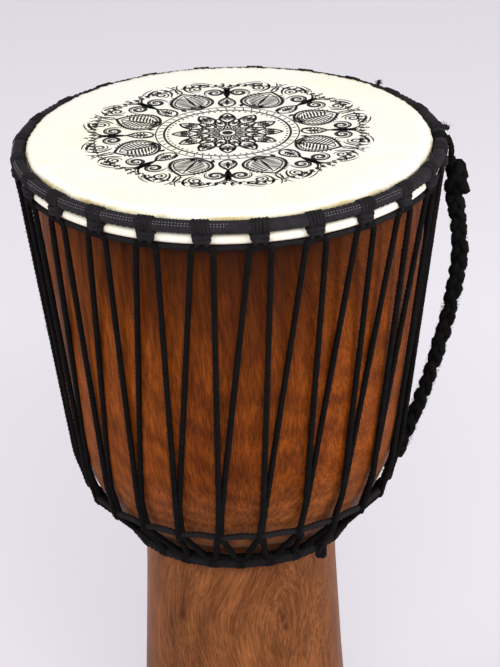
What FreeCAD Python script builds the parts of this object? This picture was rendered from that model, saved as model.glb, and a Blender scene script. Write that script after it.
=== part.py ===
import FreeCAD, Part
import math
import os

# Djembe: a rope-tuned goblet drum standing on its foot. Millimetres, +Z up,
# origin at the centre of the foot's rim. Azimuths are in degrees from the
# front (-Y) towards the right (+X).

V = FreeCAD.Vector
UP = V(0, 0, 1)

# ---- driving dimensions ----------------------------------------------------
HEIGHT = 600.0             # foot rim to the playing surface
STATIONS = 24              # hitches round each ring
PITCH = 360.0 / STATIONS
SKIN_T = 0.8               # goat skin
GAP = 0.1                  # between parts that only bear on each other

# shell: one carved log, as outlines of (radius, height)
EDGE_R = 148.9             # outside radius at the bearing edge
EDGE_ROUND = 6.4           # rounding of the bearing edge
EDGE_TOP = HEIGHT - SKIN_T - GAP
FOOT_R = 101.0
FOOT_BORE_R = 80.0
FOOT_ROUND = 2.5
OUTLINE = [(93.4, 40.0), (85.8, 84.0), (80.6, 130.0), (77.6, 190.0), (75.3, 245.0),
           (74.8, 266.0), (75.1, 279.0), (78.4, 288.4), (87.4, 295.4), (98.0, 302.8),
           (106.2, 310.5), (111.6, 320.0), (121.4, 342.0), (128.0, 366.0), (133.9, 404.0),
           (140.7, 456.0), (146.4, 516.0), (EDGE_R, 572.0)]
BORE = [(136.0, 572.0), (133.0, 500.0), (126.0, 440.0), (113.0, 384.0), (90.0, 324.0),
        (64.5, 276.0), (56.0, 234.0), (57.0, 170.0), (64.0, 90.0)]

# head: flesh hoop rolled in the skin, and the crown ring above it
RING_ROD_R = 3.0           # steel rod of both rings
WRAP_R = 4.8               # rod with its braided cover
WRAP_SEAM = 6.0            # half angle of the cover's open seam, degrees
CROWN_R, CROWN_Z = 160.0, 592.5
HOOP_R, HOOP_Z = 156.5, 581.9
HOOP_ROD_R = 2.9
HOOP_WRAP_END = 118.0      # where the skin leaves the hoop again, degrees from +X
COLLAR_FOOT = (150.55, 588.6)   # the skin's trimmed collar, inside face
COLLAR_TOP = (150.15, HEIGHT - 3.2)

# ropes
ROPE_D = 4.0
ROPE_R = ROPE_D / 2
HITCH_R = 7.0              # outside of a hitch's turns about a ring's centreline
HITCH_W = 12.0             # three turns side by side
HITCH_LEAVE = (-8, -75)    # the turns' ends leave the ring between these angles, from +X
CRADLE_R, CRADLE_Z = 160.6, 576.6
LOWER_R, LOWER_Z = 82.5, 279.5
LOWER_HITCH_R = 6.4        # pulled flatter than the crown's
LOWER_HITCH_W = 8.0        # two turns side by side
WEAVE_R, WEAVE_Z = 119.0, 320.0
ARCH_Z = CRADLE_Z - ROPE_D - 0.3
ARCH_R = 159.8
ARCH_HALF = 8.0            # half the distance between the two legs of a bight
STRAND_HALF = 2.15         # half the distance between two strands at a crossing
LEG_BEND = (128.6, 345.5)  # where a leg turns onto the bowl's underside
LEG_LEAN = (0.0, 1.9)      # azimuths there from the crossing, of the leg coming down and the one going up
FRONT_R = WEAVE_R + 4.0    # a strand in front of the weave rope, and one behind it
BACK_R = WEAVE_R - 5.0
HOOK_Z = WEAVE_Z - 8.3     # the strands' lowest points, under the weave rope
ROPE_BEND = 3.6            # largest bend radius of the tension rope
CROSSING = (WEAVE_R - 0.8, WEAVE_Z - 4.2)   # the zigzag's top, under the weave rope
CROSSING_HALF = 5.5        # half the length of the zigzag's flat top
VALLEY = (87.2, 284.6)     # where the lower zigzag joins a hitch
VALLEY_HALF = 2.4          # half the valley's width, degrees
ZIGZAG_BEND = 4.0
TAIL_STATION = 2           # the tension rope ends below this station
TAIL_AZ = 32.0
TAIL_END = (116.4, 301.0)  # the tail's end, in its stopper knot
TAIL_KNOT = (3.6, 6.3)     # radius and half height
TAIL_KNOT_SINK = 0.8       # the rope's end plane lies about this far inside the knot

# carrying strap on the right, a thick braid tied to the crown ring and the weave rope
STRAP_AZ = 90.0
STRAP_D = 11.6
PIVOT_TOP = V(168.0, 0, 580.0)
PIVOT_LOW = V(126.6, 0, 332.0)
SWIVEL_GAP = 0.3
STRAP_ROUTE = [(170.6, 0.0, 549.0), (174.9, 0.7, 520.0), (174.4, -0.6, 486.0), (166.2, 0.9, 449.0),
               (156.0, -0.7, 411.0), (143.6, 0.5, 373.0), (127.9, 0.0, 335.1)]
TOP_KNOT = (10.0, 15.5)    # radius and half height
TOP_KNOT_R = 170.4         # it hangs a little outside the swing axis
TOP_KNOT_SINK = 1.5        # the strap's end plane lies this far inside the knot
NECK_R, NECK_L = 4.2, 20.0
LOW_KNOT_R = 6.8
TIE_STUB_R = 3.4           # loops of cord that the two knots hang in
TOP_STUB_L = 11.0
LOW_STUB = (2.5, 12.0)     # start from the weave rope's centre, and length
LOW_TIE_W = 9.0
LOW_TIE_R = 4.6


def polar(azimuth, radius, height):
    """Point at an azimuth in degrees, a radius and a height."""
    a = math.radians(azimuth)
    return V(radius * math.sin(a), -radius * math.cos(a), height)


def station(index):
    """Azimuth of a crown hitch; the lower hitches lie half a pitch further."""
    return (index + 0.5) * PITCH


def degrees_at(length, radius):
    """The angle that a short tangential length takes at a radius."""
    return math.degrees(length / radius)


def half_plane(point):
    """(radius, height) as a point of the XZ plane."""
    return V(point[0], 0, point[1])


def segment(a, b):
    return Part.LineSegment(a, b).toShape()


def spline(points, start=None, end=None):
    """A smooth curve through the points, with end tangents where given."""
    curve = Part.BSplineCurve()
    poles = [half_plane(p) for p in points]
    if start is None:
        curve.interpolate(Points=poles)
    else:
        curve.interpolate(Points=poles, InitialTangent=start, FinalTangent=end)
    return curve.toShape()


def lathe(edges):
    """A solid of revolution about Z from the edges of a closed outline."""
    face = Part.Face(Part.Wire(edges))
    solid = face.revolve(V(0, 0, 0), UP, 360)
    return solid if solid.Volume > 0 else solid.reversed()


def arc(centre, radius, from_deg, to_deg):
    """Arc in the XZ plane, by angles from +X towards +Z."""
    def on(angle):
        a = math.radians(angle)
        return V(centre[0] + radius * math.cos(a), 0, centre[1] + radius * math.sin(a))
    return Part.Arc(on(from_deg), on((from_deg + to_deg) / 2), on(to_deg)).toShape()


def rounded_path(points, bend=None):
    """Straight runs joined by tangent arcs, and the arcs' radii.

    An arc takes 0.45 of the shorter run beside it, or less where a bend radius is given."""
    edges, radii = [], []
    here = points[0]
    for before, corner, after in zip(points, points[1:], points[2:]):
        into, out = (corner - before), (after - corner)
        half = into.getAngle(out) / 2
        trim = 0.45 * min(into.Length, out.Length)
        if bend is not None:
            trim = min(trim, bend * math.tan(half))
        radius = trim / math.tan(half)
        first = corner - into.normalize() * trim
        last = corner + out.normalize() * trim
        inward = (out - into).normalize()
        middle = corner + inward * (radius / math.cos(half) - radius)
        edges.append(segment(here, first))
        edges.append(Part.Arc(first, middle, last).toShape())
        radii.append(radius)
        here = last
    edges.append(segment(here, points[-1]))
    return edges, radii


def tube(points, diameter, bend=None):
    """A round tube along the rounded path of the points."""
    edges, radii = rounded_path(points, bend)
    path = Part.Wire(edges)
    start = points[1] - points[0]
    ring = Part.Wire(Part.Circle(points[0], start, diameter / 2).toShape())
    solid = path.makePipeShell([ring], True, False)
    expected = path.Length * math.pi * diameter ** 2 / 4
    print("  tube: length %.1f, smallest radius %.1f, volume/expected %.4f"
          % (path.Length, min(radii), solid.Volume / expected))
    return solid


def torus(radius, height, tube_radius):
    return Part.makeTorus(radius, tube_radius, V(0, 0, height), UP)


def egg(radius, half_height):
    """A sphere stretched along Z, about the origin."""
    stretch = FreeCAD.Matrix()
    stretch.scale(1, 1, half_height / radius)
    return Part.makeSphere(radius).transformGeometry(stretch)


def half_space(point, direction):
    """A large cylinder that cuts away what lies beyond a plane, along the direction."""
    return Part.makeCylinder(40, 40, point, direction)


# ---- wood and head -----------------------------------------------------------
def make_shell():
    """The carved shell: flared foot, neck, bowl and rounded bearing edge, open right through."""
    rounding = (EDGE_R - EDGE_ROUND, EDGE_TOP - EDGE_ROUND)
    flat_end = (rounding[0] - 2.5, EDGE_TOP)
    bevel_end = (BORE[0][0], EDGE_TOP - 5.0)
    toe = (FOOT_R - FOOT_ROUND, FOOT_ROUND)
    outer = [(FOOT_R, FOOT_ROUND)] + OUTLINE
    inner = BORE + [(FOOT_BORE_R, 0.0)]
    edges = [
        segment(half_plane(inner[-1]), V(toe[0], 0, 0)),
        arc(toe, FOOT_ROUND, -90, 0),
        spline(outer, V(-0.16, 0, 1), V(0, 0, 1)),
        segment(half_plane(outer[-1]), V(EDGE_R, 0, rounding[1])),
        arc(rounding, EDGE_ROUND, 0, 90),
        segment(V(rounding[0], 0, EDGE_TOP), half_plane(flat_end)),
        segment(half_plane(flat_end), half_plane(bevel_end)),
        segment(half_plane(bevel_end), half_plane(inner[0])),
        spline(inner),
    ]
    return lathe(edges)


def make_skin():
    """The head: flat over the bowl, down to the flesh hoop, round it and up to a trimmed edge."""
    t = SKIN_T / 2
    roll = HOOP_ROD_R + GAP + t
    round_r = EDGE_ROUND + GAP + t
    centre = (EDGE_R - EDGE_ROUND, EDGE_TOP - EDGE_ROUND)
    # the wall leaves the bearing edge and meets the roll tangentially
    dx, dz = HOOP_R - centre[0], HOOP_Z - centre[1]
    apart = math.hypot(dx, dz)
    facing = math.degrees(math.atan2(dz, dx))
    lean = math.degrees(math.asin((round_r + roll) / apart))
    leave = facing + 90 - lean
    meet = leave + 180
    # over the top of the hoop the skin turns back up beside the wall
    back = HOOP_WRAP_END

    def at(c, r, angle):
        a = math.radians(angle)
        return V(c[0] + r * math.cos(a), 0, c[1] + r * math.sin(a))

    hoop = (HOOP_R, HOOP_Z)
    across = V(SKIN_T, 0, 0)
    foot = half_plane(COLLAR_FOOT)
    top = half_plane(COLLAR_TOP)
    edges = [
        segment(V(0, 0, HEIGHT), V(centre[0], 0, HEIGHT)),
        arc(centre, round_r + t, 90, leave),
        segment(at(centre, round_r + t, leave), at(hoop, roll - t, meet)),
        arc(hoop, roll - t, meet, back + 360),
        segment(at(hoop, roll - t, back), foot),
        segment(foot, top),
        segment(top, top + across),
        segment(top + across, foot + across),
        segment(foot + across, at(hoop, roll + t, back)),
        arc(hoop, roll + t, back + 360, meet),
        segment(at(hoop, roll + t, meet), at(centre, round_r - t, leave)),
        arc(centre, round_r - t, leave, 90),
        segment(V(centre[0], 0, HEIGHT - SKIN_T), V(0, 0, HEIGHT - SKIN_T)),
        segment(V(0, 0, HEIGHT - SKIN_T), V(0, 0, HEIGHT)),
    ]
    return lathe(edges)


def make_ring_wrap(radius, height):
    """The braided cover of a ring, sewn along a seam on the side towards the shell."""
    centre = (radius, height)
    inner = RING_ROD_R + GAP
    low, high = -180 + WRAP_SEAM, 180 - WRAP_SEAM

    def at(r, angle):
        a = math.radians(angle)
        return V(radius + r * math.cos(a), 0, height + r * math.sin(a))

    edges = [
        arc(centre, WRAP_R, low, high),
        segment(at(WRAP_R, high), at(inner, high)),
        arc(centre, inner, high, low),
        segment(at(inner, low), at(WRAP_R, low)),
    ]
    return lathe(edges)


# ---- ropes ---------------------------------------------------------------------
def ring_turns(azimuth, radius, height, width, outside):
    """Turns of rope lying side by side round a covered ring, at one azimuth."""
    sweep = degrees_at(width, radius)
    centre = V(0, 0, height)
    body = Part.makeTorus(radius, outside, centre, UP, 0, 360, sweep)
    bore = Part.makeTorus(radius, WRAP_R + GAP, centre, UP, 0, 360, sweep)
    turns = body.cut(bore)
    turns.rotate(V(0, 0, 0), UP, azimuth - 90 - sweep / 2)
    return turns


def make_top_cradle():
    """The rope hitched round the crown ring: it runs below the hoop from hitch to hitch."""
    centre = (CROWN_R, CROWN_Z)
    first, last = HITCH_LEAVE
    # a hitch's section: round the ring, then down across the hoop into the rope below it
    turns = arc(centre, HITCH_R, first, last + 360)
    down = [turns.Vertexes[-1].Point,
            V(HOOP_R + 4.3, 0, HOOP_Z + 1.5),
            V(CRADLE_R - 0.4, 0, CRADLE_Z + 0.6),
            V(CRADLE_R + 1.3, 0, CRADLE_Z - 0.4),
            turns.Vertexes[0].Point]
    outline = Part.Wire([turns] + [segment(a, b) for a, b in zip(down, down[1:])])
    bore = Part.Wire(Part.Circle(half_plane(centre), V(0, -1, 0), WRAP_R + GAP).toShape())
    section = Part.Face(outline).cut(Part.Face(bore))
    sweep = degrees_at(HITCH_W, CROWN_R)
    hitches = []
    for index in range(STATIONS):
        hitch = section.revolve(V(0, 0, 0), UP, sweep).Solids[0]
        hitch.rotate(V(0, 0, 0), UP, station(index) - 90 - sweep / 2)
        hitches.append(hitch)
    return torus(CRADLE_R, CRADLE_Z, ROPE_R).multiFuse(hitches)


def make_tension_rope():
    """One rope: over each crown station, down to the weave rope and up to the next station."""
    arch = degrees_at(ARCH_HALF, ARCH_R)
    side = degrees_at(STRAND_HALF, WEAVE_R)
    down_az, up_az = LEG_LEAN
    points = []
    for step in range(STATIONS):
        index = TAIL_STATION + step
        here, there = station(index), station(index + 1)
        # up from behind the weave rope, leaning over to the next station
        left = there - arch
        points += [polar(here + side, BACK_R, HOOK_Z),
                   polar(here + side, BACK_R, WEAVE_Z - 1.5),
                   polar(here + side * 1.2, BACK_R + 4.3, WEAVE_Z + 8.0),
                   polar(here + up_az, *LEG_BEND),
                   polar(left, ARCH_R, ARCH_Z)]
        # down in front of the weave rope at the next station
        right = there + arch
        points += [polar(right, ARCH_R, ARCH_Z),
                   polar(there + down_az, *LEG_BEND),
                   polar(there - side, FRONT_R, WEAVE_Z + 4.0),
                   polar(there - side, FRONT_R, HOOK_Z)]
    points[-1:] = tail_run()
    return tube(points, ROPE_D, ROPE_BEND)


def tail_run():
    """The tension rope's last run, below the weave rope to its stopper knot."""
    side = degrees_at(STRAND_HALF, WEAVE_R)
    return [polar(station(TAIL_STATION) - side - 0.4, FRONT_R - 0.4, WEAVE_Z - 6.0),
            polar(TAIL_AZ, *TAIL_END)]


def make_lower_cradle():
    """The rope hitched round the lower ring, zigzagging up to the crossings."""
    run = degrees_at(CROSSING_HALF, WEAVE_R)
    pieces, points = [], []
    for index in range(STATIONS):
        azimuth = station(index)
        valley = azimuth - PITCH / 2
        points += [polar(valley + VALLEY_HALF, *VALLEY),
                   polar(azimuth - run, *CROSSING),
                   polar(azimuth + run, *CROSSING),
                   polar(valley + PITCH - VALLEY_HALF, *VALLEY)]
        pieces.append(ring_turns(valley, LOWER_R, LOWER_Z, LOWER_HITCH_W, LOWER_HITCH_R))
    # the rope's end crosses the first hitch and lies beside its beginning
    points.append(polar(station(STATIONS) - PITCH / 2 + VALLEY_HALF / 2, *VALLEY))
    return tube(points, ROPE_D, ZIGZAG_BEND).multiFuse(pieces)


def make_tail_knot():
    """The stopper knot in the end of the tension rope, below its tail."""
    start, end = tail_run()
    knot = egg(*TAIL_KNOT)
    knot.translate(end - V(0, 0, TAIL_KNOT[1] - TAIL_KNOT_SINK))
    return knot.cut(half_space(end, start - end))


# ---- carrying strap --------------------------------------------------------------
def strap_axis():
    return (PIVOT_TOP - PIVOT_LOW).normalize()


def make_strap():
    """The braid between its two knots."""
    points = [V(*p) for p in STRAP_ROUTE]
    return tube(points, STRAP_D)


def make_top_knot():
    """The knot at the strap's upper end, turning on the tie below the crown ring."""
    axis = strap_axis()
    first, second = V(*STRAP_ROUTE[0]), V(*STRAP_ROUTE[1])
    ball = egg(*TOP_KNOT)
    ball.translate(V(TOP_KNOT_R, 0, first.z + TOP_KNOT[1] - TOP_KNOT_SINK))
    neck_end = PIVOT_TOP - axis * (SWIVEL_GAP / 2)
    neck = Part.makeCylinder(NECK_R, NECK_L, neck_end - axis * NECK_L, axis)
    knot = ball.fuse(neck)
    return knot.cut(half_space(first, second - first)).cut(half_space(neck_end, axis))


def make_low_knot():
    """The ball of the strap's lower end, centred on the swing axis."""
    last, before = V(*STRAP_ROUTE[-1]), V(*STRAP_ROUTE[-2])
    return Part.makeSphere(LOW_KNOT_R, PIVOT_LOW).cut(half_space(last, before - last))


def make_top_tie():
    """Three turns round the crown ring and the loop that the strap's knot hangs from."""
    axis = strap_axis()
    turns = ring_turns(STRAP_AZ, CROWN_R, CROWN_Z, HITCH_W - 1, HITCH_R)
    stub = Part.makeCylinder(TIE_STUB_R, TOP_STUB_L, PIVOT_TOP + axis * (SWIVEL_GAP / 2), axis)
    return turns.fuse(stub)


def make_low_tie():
    """Turns of cord round the weave rope, reaching up to the strap's lower knot."""
    along = V(0, 1, 0)
    middle = V(WEAVE_R, 0, WEAVE_Z)
    side = middle - along * (LOW_TIE_W / 2)
    body = Part.makeCylinder(LOW_TIE_R, LOW_TIE_W, side, along)
    bore = Part.makeCylinder(ROPE_R + GAP, LOW_TIE_W, side, along)
    reach = (PIVOT_LOW - middle).normalize()
    stub = Part.makeCylinder(TIE_STUB_R, LOW_STUB[1], middle + reach * LOW_STUB[0], reach)
    swing = Part.makeSphere(LOW_KNOT_R + SWIVEL_GAP, PIVOT_LOW)
    return body.fuse(stub).cut(bore).cut(swing)


def make_all():
    nodes = {
        "shell": make_shell(),
        "drumhead_skin": make_skin(),
        "flesh_hoop": torus(HOOP_R, HOOP_Z, HOOP_ROD_R),
        "crown_ring": torus(CROWN_R, CROWN_Z, RING_ROD_R),
        "crown_ring_cover": make_ring_wrap(CROWN_R, CROWN_Z),
        "top_cradle_rope": make_top_cradle(),
        "tension_rope": make_tension_rope(),
        "weave_rope": torus(WEAVE_R, WEAVE_Z, ROPE_R),
        "lower_ring": torus(LOWER_R, LOWER_Z, RING_ROD_R),
        "lower_ring_cover": make_ring_wrap(LOWER_R, LOWER_Z),
        "lower_cradle_rope": make_lower_cradle(),
        "tail_knot": make_tail_knot(),
        "strap": make_strap(),
        "strap_top_knot": make_top_knot(),
        "strap_lower_knot": make_low_knot(),
        "strap_top_tie": make_top_tie(),
        "strap_lower_tie": make_low_tie(),
    }
    return nodes


os.makedirs("parts", exist_ok=True)
for name, shape in make_all().items():
    print("%-18s solids %d  faces %d  volume %.0f  valid %s"
          % (name, len(shape.Solids), len(shape.Faces), shape.Volume, shape.isValid()))
    shape.exportStep("parts/%s.step" % name)
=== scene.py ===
import math
import random

import bpy
import numpy as np
from mathutils import Matrix, Vector, noise


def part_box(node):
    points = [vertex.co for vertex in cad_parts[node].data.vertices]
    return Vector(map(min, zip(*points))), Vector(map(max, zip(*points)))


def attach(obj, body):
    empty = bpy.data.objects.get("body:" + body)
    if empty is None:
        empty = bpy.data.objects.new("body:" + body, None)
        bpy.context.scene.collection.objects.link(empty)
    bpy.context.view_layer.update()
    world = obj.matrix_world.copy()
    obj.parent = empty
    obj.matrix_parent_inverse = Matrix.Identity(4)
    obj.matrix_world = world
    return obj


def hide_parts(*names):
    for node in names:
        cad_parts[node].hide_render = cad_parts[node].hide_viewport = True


# Djembe: the looks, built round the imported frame. Object coordinates are metres.
# Sizes below are millimetres, azimuths degrees from the front (-Y) towards +X.

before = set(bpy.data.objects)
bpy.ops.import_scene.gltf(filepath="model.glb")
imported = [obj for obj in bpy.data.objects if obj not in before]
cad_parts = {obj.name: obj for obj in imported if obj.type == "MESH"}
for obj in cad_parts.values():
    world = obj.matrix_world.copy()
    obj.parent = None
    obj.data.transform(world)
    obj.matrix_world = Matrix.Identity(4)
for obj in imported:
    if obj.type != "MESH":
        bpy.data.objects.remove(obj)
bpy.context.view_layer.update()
random.seed(11)

MM = 0.001
STATIONS = 24
PITCH = 360 / STATIONS
HEAD_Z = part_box("drumhead_skin")[1].z / MM

CROWN_R, CROWN_Z = 160.0, 592.5      # ring above the head
WRAP_R = 4.8                         # a ring with its braided cover
CRADLE_R, CRADLE_Z = 160.6, 576.6    # rope that the crown hitches hang on
LOWER_R, LOWER_Z = 82.5, 279.5       # ring round the neck
VALLEY_R, VALLEY_Z, VALLEY_HALF = 87.2, 284.6, 2.4   # the net's lower corners, the last in degrees
WEAVE_R, WEAVE_Z = 119.0, 320.0      # rope that gathers the verticals
ARCH_R, ARCH_Z, ARCH_HALF = 159.8, 572.3, 8.0
LEG_BEND_R, LEG_BEND_Z = 128.6, 345.5
LEG_LEAN = 0.95                      # azimuth of a pair of legs at the bend, from their crossing
ROPE_R = 2.5
LAY = 11.5                           # a laid rope's length of one turn
TAIL_STATION, TAIL_AZ = 2, 32.0
TAIL_END_R, TAIL_END_Z = 116.4, 301.0


def polar(azimuth, radius, height):
    """A point in metres, from an azimuth in degrees and a radius and height in millimetres."""
    a = math.radians(azimuth)
    return Vector((radius * math.sin(a), -radius * math.cos(a), height)) * MM


def station(index):
    """The azimuth of a crown hitch."""
    return (index + 0.5) * PITCH


def degrees_at(length, radius):
    """The angle that a length takes up along a circle."""
    return math.degrees(length / radius)


# ---- meshes --------------------------------------------------------------------
class Skin:
    """Collects rings of points into one mesh of closed tubes."""

    def __init__(self):
        self.verts = []
        self.faces = []

    def tube(self, rings, closed=False):
        """Joins rings of points, an array of rings x points x 3, and caps its ends."""
        start = len(self.verts)
        count, around = rings.shape[:2]
        self.verts += rings.reshape(-1, 3).tolist()
        for i in range(count if closed else count - 1):
            a = start + i * around
            b = start + (i + 1) % count * around
            for j in range(around):
                k = (j + 1) % around
                self.faces.append((a + j, a + k, b + k, b + j))
        if not closed:
            last = start + (count - 1) * around
            self.faces.append(tuple(range(start, start + around))[::-1])
            self.faces.append(tuple(range(last, last + around)))

    def build(self, name, material, body, smooth=True):
        """The collected mesh as a named object that rides on a body."""
        mesh = bpy.data.meshes.new(name)
        mesh.from_pydata(self.verts, [], self.faces)
        mesh.validate()
        piece = bpy.data.objects.new(name, mesh)
        bpy.context.scene.collection.objects.link(piece)
        mesh.polygons.foreach_set("use_smooth", [smooth] * len(mesh.polygons))
        mesh.materials.append(material)
        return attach(piece, body)


def smooth_line(points, closed=False, resolution=8):
    """Points along the NURBS spline that has the given control points."""
    data = bpy.data.curves.new("line", "CURVE")
    data.dimensions = "3D"
    data.resolution_u = resolution
    spline = data.splines.new("NURBS")
    spline.points.add(len(points) - 1)
    for knot, point in zip(spline.points, points):
        knot.co = (*point, 1)
    spline.order_u = 3
    spline.use_endpoint_u = not closed
    spline.use_cyclic_u = closed
    curve = bpy.data.objects.new("line", data)
    bpy.context.scene.collection.objects.link(curve)
    mesh = bpy.data.meshes.new_from_object(curve)
    line = np.array([v.co for v in mesh.vertices])
    bpy.data.objects.remove(curve)
    bpy.data.meshes.remove(mesh)
    bpy.data.curves.remove(data)
    return line


def evenly(line, step, closed=False):
    """The same line as points about a step apart, and its length."""
    if closed:
        line = np.vstack([line, line[:1]])
    along = np.concatenate([[0], np.cumsum(np.linalg.norm(np.diff(line, axis=0), axis=1))])
    count = max(int(round(along[-1] / step)), 2)
    places = np.linspace(0, along[-1], count + 1)
    if closed:
        places = places[:-1]
    return np.column_stack([np.interp(places, along, line[:, k]) for k in range(3)]), along[-1]


def tangents_along(points, closed=False):
    """The line's direction at each point."""
    ahead = np.roll(points, -1, 0) - np.roll(points, 1, 0)
    if not closed:
        ahead[0] = points[1] - points[0]
        ahead[-1] = points[-1] - points[-2]
    return ahead / np.linalg.norm(ahead, axis=1)[:, None]


def frames_along(points, closed=False, first=None):
    """Tangents, normals and binormals, turning no more than the line does."""
    tangents = tangents_along(points, closed)
    normals = np.empty_like(tangents)
    normal = np.array(first if first is not None else np.cross(tangents[0], (0.02, 0.01, 1)), float)
    for i, tangent in enumerate(tangents):
        normal = normal - tangent * (normal @ tangent)
        normal /= np.linalg.norm(normal)
        normals[i] = normal
    return tangents, normals, np.cross(tangents, normals)


def laid_rope(skin, line, radius, closed=False, lay=LAY * MM, grow=None):
    """A rope of three strands laid together along a line. Each strand's crown is three points wide."""
    points, length = evenly(line, lay / 9, closed)
    _, normals, binormals = frames_along(points, closed)
    turns = round(length / lay) if closed else length / lay
    index = np.arange(9)
    centre, strand = 0.28, 0.72
    off = (index % 3 - 1.0) * math.radians(40) - math.radians(20)
    profile = centre * np.cos(off) + np.sqrt(strand ** 2 - (centre * np.sin(off)) ** 2)
    angles = index / 9 * math.tau + np.arange(len(points))[:, None] / len(points) * turns * math.tau
    size = np.full(len(points), radius) if grow is None else radius * grow(np.linspace(0, 1, len(points)))
    wobble = np.array([noise.noise(Vector(p) * 300) for p in points])
    size = size * (1 + 0.07 * wobble)
    reach = size[:, None] * profile
    rings = (points[:, None] + reach[..., None] * (np.cos(angles)[..., None] * normals[:, None]
             + np.sin(angles)[..., None] * binormals[:, None]))
    skin.tube(rings, closed)


def flat_strand(skin, line, outward, half_width, half_thick, step=0.0009, closed=False):
    """A rope flattened where it is pulled tight: an oval section whose short side faces outward(point)."""
    points, _ = evenly(line, step, closed)
    tangents = tangents_along(points, closed)
    out = np.array([outward(p) for p in points])
    out -= tangents * (out * tangents).sum(1)[:, None]
    out /= np.linalg.norm(out, axis=1)[:, None]
    side = np.cross(tangents, out)
    turn = np.arange(12) / 12 * math.tau
    # three shallow strands show on the flattened face
    twist = np.arange(len(points))[:, None] * step / (LAY * MM) * math.tau
    ripple = 1 + 0.10 * np.cos(3 * turn[None, :] + twist)
    rings = (points[:, None]
             + (half_thick * ripple * np.cos(turn))[..., None] * out[:, None]
             + (half_width * ripple * np.sin(turn))[..., None] * side[:, None])
    skin.tube(rings, closed)


def fibres(skin, line, radius, count, reach):
    """Loose fibres standing off a cord, at random places along its line."""
    _, normals, binormals = frames_along(line)
    for _ in range(count):
        i = random.randrange(1, len(line) - 1)
        a = random.uniform(0, math.tau)
        out = math.cos(a) * normals[i] + math.sin(a) * binormals[i]
        along = line[i + 1] - line[i - 1]
        along = along / max(np.linalg.norm(along), 1e-9) * random.uniform(-0.8, 0.8)
        length = random.uniform(0.35, 1.0) * reach
        root = line[i] + out * radius * 0.85
        thick = random.uniform(0.10, 0.17) * MM
        aside = np.cross(out, along + (1e-4, 2e-4, 0))
        aside /= np.linalg.norm(aside)
        third = np.cross(out, aside)
        rings = []
        for t in (0.0, 0.55, 1.0):
            middle = root + out * length * t + along * length * t * t
            width = thick * (1 - 0.6 * t)
            rings.append([middle + width * (math.cos(b) * aside + math.sin(b) * third)
                          for b in (0.0, math.tau / 3, math.tau * 2 / 3)])
        skin.tube(np.array(rings))


# ---- materials -------------------------------------------------------------------
class Nodes:
    """A new material's node tree with short calls for what the recipes need."""

    def __init__(self, name):
        self.material = bpy.data.materials.new(name)
        self.material.use_nodes = True
        self.tree = self.material.node_tree
        self.shader = self.tree.nodes["Principled BSDF"]

    def new(self, kind, inputs=None, **settings):
        node = self.tree.nodes.new(kind)
        for key, value in settings.items():
            setattr(node, key, value)
        for key, value in (inputs or {}).items():
            if isinstance(value, bpy.types.NodeSocket):
                self.tree.links.new(value, node.inputs[key])
            else:
                node.inputs[key].default_value = value
        return node

    def place(self):
        return self.new("ShaderNodeTexCoord").outputs["Object"]

    def scaled(self, vector, scale):
        return self.new("ShaderNodeMapping", {"Vector": vector, "Scale": scale}).outputs[0]

    def math(self, operation, a, b=0.0):
        return self.new("ShaderNodeMath", {0: a, 1: b}, operation=operation).outputs[0]

    def fade(self, value, start, end, low=0.0, high=1.0):
        """From low to high while the value goes from start to end."""
        return self.new("ShaderNodeMapRange", {"Value": value, "From Min": start, "From Max": end,
                                               "To Min": low, "To Max": high}).outputs[0]

    def noise(self, vector, scale, detail=3.0, rough=0.5, distortion=0.0):
        return self.new("ShaderNodeTexNoise", {
            "Vector": vector, "Scale": scale, "Detail": detail, "Roughness": rough, "Distortion": distortion,
        }).outputs["Fac"]

    def ramp(self, value, stops):
        """stops: (position, colour) pairs; a colour is linear RGB or one grey value."""
        node = self.new("ShaderNodeValToRGB", {"Fac": value})
        ramp = node.color_ramp
        while len(ramp.elements) < len(stops):
            ramp.elements.new(0.5)
        for element, (position, colour) in zip(ramp.elements, stops):
            element.position = position
            element.color = (*colour, 1) if isinstance(colour, tuple) else (colour, colour, colour, 1)
        return node.outputs["Color"]

    def mix(self, factor, a, b, blend="MIX"):
        node = self.new("ShaderNodeMix", data_type="RGBA", blend_type=blend)
        for socket, value in zip((node.inputs[0], node.inputs[6], node.inputs[7]), (factor, a, b)):
            if isinstance(value, bpy.types.NodeSocket):
                self.tree.links.new(value, socket)
            elif isinstance(value, tuple):
                socket.default_value = (*value, 1)
            else:
                socket.default_value = value
        return node.outputs[2]

    def shade(self, name, value):
        if isinstance(value, bpy.types.NodeSocket):
            self.tree.links.new(value, self.shader.inputs[name])
        else:
            self.shader.inputs[name].default_value = value

    def bump(self, height, distance, strength=1.0):
        node = self.new("ShaderNodeBump", {"Height": height, "Distance": distance, "Strength": strength})
        self.shade("Normal", node.outputs[0])


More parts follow.
